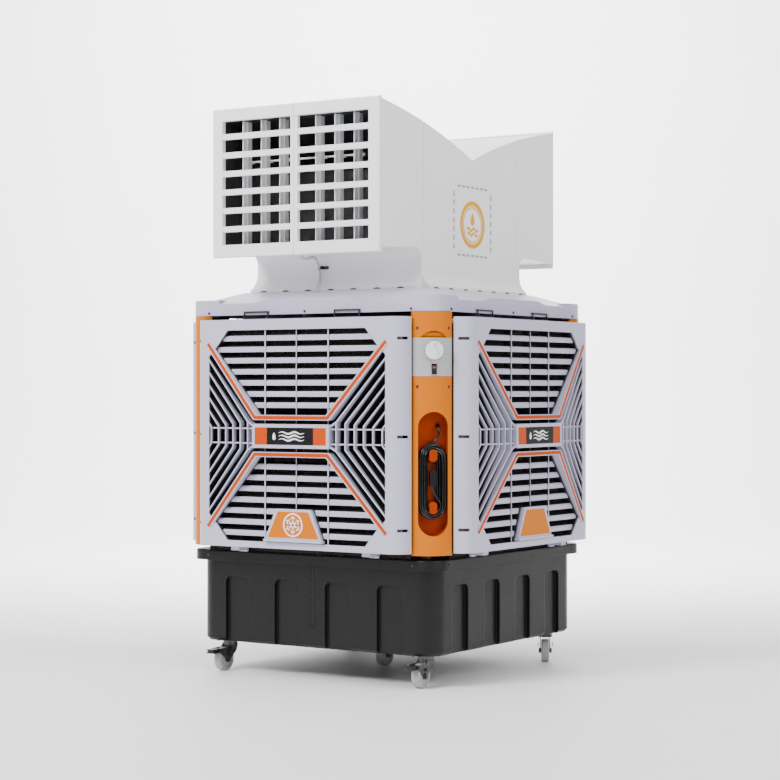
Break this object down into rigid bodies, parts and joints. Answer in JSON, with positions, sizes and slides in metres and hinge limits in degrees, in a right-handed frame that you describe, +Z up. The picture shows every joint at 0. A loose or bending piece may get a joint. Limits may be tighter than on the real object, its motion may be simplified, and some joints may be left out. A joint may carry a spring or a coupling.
{
  "type": "evaporative cooler",
  "caption": "Free-standing evaporative air cooler: water tank on casters, pad walls behind louvre panels, top fan and a duct with opposed swing-vane outlets.",
  "frame": {"origin": "floor level, centre of the footprint", "axes": "+Z up, -Y towards the front outlet, +X towards the side right of the control column"},
  "size_m": [1.131, 1.131, 1.796],
  "materials": {
    "accent_plastic": "satin red orange",
    "clip_wire": "black wire",
    "cord_rubber": "matt sheath",
    "fan_plastic": "glass filled nylon",
    "fittings_plastic": "moulded",
    "grey_plastic": "satin",
    "knob_plastic": "gloss",
    "lead_rubber": "grey sheath",
    "nylon": "moulded nylon",
    "orange_plastic": "satin orange",
    "pad_paper": "corrugated cellulose",
    "painted_steel": "powder coat",
    "pedal_plastic": "moulded",
    "pipe_plastic": "extruded",
    "plate_print": "printed plate, no lettering",
    "pump_plastic": "moulded",
    "silver_plastic": "silver lavender paint",
    "switch_plastic": "gloss black, red end",
    "tank_plastic": "rotomoulded, fine grain",
    "vane_plastic": "satin, faint blue",
    "white_plastic": "satin moulded",
    "window_plastic": "clear moulded strip",
    "zinc_steel": "zinc plated"
  },
  "bodies": {
    "cabinet": {"water_tank": "tank_plastic", "level_window": "window_plastic", "tank_fittings": "fittings_plastic", "caster_plates": "zinc_steel", "corner_posts": "painted_steel", "grille_panel_front": "silver_plastic", "grille_panel_right": "silver_plastic", "grille_panel_back": "silver_plastic", "grille_panel_left": "silver_plastic", "name_plates": "plate_print", "accent_inlays": "accent_plastic", "cooling_pads": "pad_paper", "water_pump": "pump_plastic", "water_pipes": "pipe_plastic", "corner_covers": "orange_plastic", "cord_storage_cover": "orange_plastic", "control_panel": "grey_plastic", "power_cord_coil": "cord_rubber", "power_cord_lead": "cord_rubber", "power_plug": "cord_rubber", "top_lid": "silver_plastic", "fan_shroud": "fan_plastic", "fan_motor": "painted_steel", "outlet_duct": "white_plastic", "outlet_grille_front": "white_plastic", "outlet_grille_back": "white_plastic", "swing_motors": "fittings_plastic", "swing_motor_lead": "lead_rubber", "panel_clips": "clip_wire", "screws": "zinc_steel"},
    "float": {"float_arm": "fittings_plastic"},
    "fan": {"fan_impeller": "fan_plastic"},
    "knob": {"speed_knob": "knob_plastic"},
    "rocker": {"power_switch": "switch_plastic"},
    "fork_front_left": {"caster_fork_front_left": "zinc_steel"},
    "wheel_front_left": {"caster_wheel_front_left": "nylon"},
    "fork_front_right": {"caster_fork_front_right": "zinc_steel"},
    "wheel_front_right": {"caster_wheel_front_right": "nylon"},
    "fork_back_left": {"caster_fork_back_left": "zinc_steel"},
    "wheel_back_left": {"caster_wheel_back_left": "nylon"},
    "fork_back_right": {"caster_fork_back_right": "zinc_steel"},
    "wheel_back_right": {"caster_wheel_back_right": "nylon"},
    "fork_centre": {"caster_fork_centre": "zinc_steel"},
    "wheel_centre": {"caster_wheel_centre": "nylon"},
    "pedal_front_left": {"brake_pedal_front_left": "pedal_plastic"},
    "pedal_front_right": {"brake_pedal_front_right": "pedal_plastic"},
    "front_vane_body_1": {"front_vane_1": "vane_plastic"},
    "front_vane_body_2": {"front_vane_2": "vane_plastic"},
    "front_vane_body_3": {"front_vane_3": "vane_plastic"},
    "front_vane_body_4": {"front_vane_4": "vane_plastic"},
    "front_vane_body_5": {"front_vane_5": "vane_plastic"},
    "front_vane_body_6": {"front_vane_6": "vane_plastic"},
    "front_link": {"front_vane_link": "vane_plastic"},
    "back_vane_body_1": {"back_vane_1": "vane_plastic"},
    "back_vane_body_2": {"back_vane_2": "vane_plastic"},
    "back_vane_body_3": {"back_vane_3": "vane_plastic"},
    "back_vane_body_4": {"back_vane_4": "vane_plastic"},
    "back_vane_body_5": {"back_vane_5": "vane_plastic"},
    "back_vane_body_6": {"back_vane_6": "vane_plastic"},
    "back_link": {"back_vane_link": "vane_plastic"}
  },
  "joints": [
    {"name": "swivel_front_left", "type": "hinge", "parent": "cabinet", "child": "fork_front_left", "pos_m": [-0.376, -0.376, 0.088], "axis": [0, 0, 1], "continuous": true},
    {"name": "wheel_spin_front_left", "type": "hinge", "parent": "fork_front_left", "child": "wheel_front_left", "pos_m": [-0.376, -0.409, 0.0375], "axis": [1, 0, 0], "continuous": true},
    {"name": "swivel_front_right", "type": "hinge", "parent": "cabinet", "child": "fork_front_right", "pos_m": [0.376, -0.376, 0.088], "axis": [0, 0, 1], "continuous": true},
    {"name": "wheel_spin_front_right", "type": "hinge", "parent": "fork_front_right", "child": "wheel_front_right", "pos_m": [0.3783, -0.40892, 0.0375], "axis": [0.9976, 0.0698, 0], "continuous": true},
    {"name": "swivel_back_left", "type": "hinge", "parent": "cabinet", "child": "fork_back_left", "pos_m": [-0.376, 0.376, 0.088], "axis": [0, 0, 1], "continuous": true},
    {"name": "wheel_spin_back_left", "type": "hinge", "parent": "fork_back_left", "child": "wheel_back_left", "pos_m": [-0.38286, 0.34372, 0.0375], "axis": [0.9781, -0.2079, 0], "continuous": true},
    {"name": "swivel_back_right", "type": "hinge", "parent": "cabinet", "child": "fork_back_right", "pos_m": [0.376, 0.376, 0.088], "axis": [0, 0, 1], "continuous": true},
    {"name": "wheel_spin_back_right", "type": "hinge", "parent": "fork_back_right", "child": "wheel_back_right", "pos_m": [0.3925, 0.34742, 0.0375], "axis": [0.866, 0.5, 0], "continuous": true},
    {"name": "swivel_centre", "type": "hinge", "parent": "cabinet", "child": "fork_centre", "pos_m": [0, 0, 0.088], "axis": [0, 0, 1], "continuous": true},
    {"name": "wheel_spin_centre", "type": "hinge", "parent": "fork_centre", "child": "wheel_centre", "pos_m": [0, -0.033, 0.0375], "axis": [1, 0, 0], "continuous": true},
    {"name": "brake_front_left", "type": "hinge", "parent": "fork_front_left", "child": "pedal_front_left", "pos_m": [-0.376, -0.446, 0.068], "axis": [1, 0, 0], "range_deg": [0, 20]},
    {"name": "brake_front_right", "type": "hinge", "parent": "fork_front_right", "child": "pedal_front_right", "pos_m": [0.38088, -0.44583, 0.068], "axis": [0.9976, 0.0698, 0], "range_deg": [0, 20]},
    {"name": "fan_spin", "type": "hinge", "parent": "cabinet", "child": "fan", "pos_m": [0, 0, 1.155], "axis": [0, 0, 1], "continuous": true},
    {"name": "knob_turn", "type": "hinge", "parent": "cabinet", "child": "knob", "pos_m": [0.45679, -0.45679, 1.027], "axis": [0.7071, -0.7071, 0], "range_deg": [-270, 0]},
    {"name": "rocker_tilt", "type": "hinge", "parent": "cabinet", "child": "rocker", "pos_m": [0.45184, -0.45184, 0.971], "axis": [-0.7071, -0.7071, 0], "range_deg": [0, 16]},
    {"name": "float_swing", "type": "hinge", "parent": "cabinet", "child": "float", "pos_m": [-0.396, 0, 0.338], "axis": [0, -1, 0], "range_deg": [0, 33]},
    {"name": "front_vane_swing_1", "type": "hinge", "parent": "cabinet", "child": "front_vane_body_1", "pos_m": [-0.212, -0.501, 1.56], "axis": [0, 0, 1], "range_deg": [-35, 35]},
    {"name": "front_vane_swing_2", "type": "hinge", "parent": "cabinet", "child": "front_vane_body_2", "pos_m": [-0.1403, -0.501, 1.56], "axis": [0, 0, 1], "range_deg": [-35, 35]},
    {"name": "front_vane_swing_3", "type": "hinge", "parent": "cabinet", "child": "front_vane_body_3", "pos_m": [-0.0686, -0.501, 1.56], "axis": [0, 0, 1], "range_deg": [-35, 35]},
    {"name": "front_vane_swing_4", "type": "hinge", "parent": "cabinet", "child": "front_vane_body_4", "pos_m": [0.0686, -0.501, 1.56], "axis": [0, 0, 1], "range_deg": [-35, 35]},
    {"name": "front_vane_swing_5", "type": "hinge", "parent": "cabinet", "child": "front_vane_body_5", "pos_m": [0.1403, -0.501, 1.56], "axis": [0, 0, 1], "range_deg": [-35, 35]},
    {"name": "front_vane_swing_6", "type": "hinge", "parent": "cabinet", "child": "front_vane_body_6", "pos_m": [0.212, -0.501, 1.56], "axis": [0, 0, 1], "range_deg": [-35, 35]},
    {"name": "front_link_pivot", "type": "hinge", "parent": "front_vane_body_1", "child": "front_link", "pos_m": [-0.212, -0.469, 1.632], "axis": [0, 0, 1], "range_deg": [-35, 35]},
    {"name": "back_vane_swing_1", "type": "hinge", "parent": "cabinet", "child": "back_vane_body_1", "pos_m": [0.212, 0.501, 1.56], "axis": [0, 0, 1], "range_deg": [-35, 35]},
    {"name": "back_vane_swing_2", "type": "hinge", "parent": "cabinet", "child": "back_vane_body_2", "pos_m": [0.1403, 0.501, 1.56], "axis": [0, 0, 1], "range_deg": [-35, 35]},
    {"name": "back_vane_swing_3", "type": "hinge", "parent": "cabinet", "child": "back_vane_body_3", "pos_m": [0.0686, 0.501, 1.56], "axis": [0, 0, 1], "range_deg": [-35, 35]},
    {"name": "back_vane_swing_4", "type": "hinge", "parent": "cabinet", "child": "back_vane_body_4", "pos_m": [-0.0686, 0.501, 1.56], "axis": [0, 0, 1], "range_deg": [-35, 35]},
    {"name": "back_vane_swing_5", "type": "hinge", "parent": "cabinet", "child": "back_vane_body_5", "pos_m": [-0.1403, 0.501, 1.56], "axis": [0, 0, 1], "range_deg": [-35, 35]},
    {"name": "back_vane_swing_6", "type": "hinge", "parent": "cabinet", "child": "back_vane_body_6", "pos_m": [-0.212, 0.501, 1.56], "axis": [0, 0, 1], "range_deg": [-35, 35]},
    {"name": "back_link_pivot", "type": "hinge", "parent": "back_vane_body_1", "child": "back_link", "pos_m": [0.212, 0.469, 1.632], "axis": [0, 0, 1], "range_deg": [-35, 35]}
  ],
  "couplings": [
    {"joint": "front_vane_swing_2", "follows": "front_vane_swing_1", "ratio": 1},
    {"joint": "front_vane_swing_3", "follows": "front_vane_swing_1", "ratio": 1},
    {"joint": "front_vane_swing_4", "follows": "front_vane_swing_1", "ratio": 1},
    {"joint": "front_vane_swing_5", "follows": "front_vane_swing_1", "ratio": 1},
    {"joint": "front_vane_swing_6", "follows": "front_vane_swing_1", "ratio": 1},
    {"joint": "front_link_pivot", "follows": "front_vane_swing_1", "ratio": -1},
    {"joint": "back_vane_swing_2", "follows": "back_vane_swing_1", "ratio": 1},
    {"joint": "back_vane_swing_3", "follows": "back_vane_swing_1", "ratio": 1},
    {"joint": "back_vane_swing_4", "follows": "back_vane_swing_1", "ratio": 1},
    {"joint": "back_vane_swing_5", "follows": "back_vane_swing_1", "ratio": 1},
    {"joint": "back_vane_swing_6", "follows": "back_vane_swing_1", "ratio": 1},
    {"joint": "back_link_pivot", "follows": "back_vane_swing_1", "ratio": -1}
  ]
}
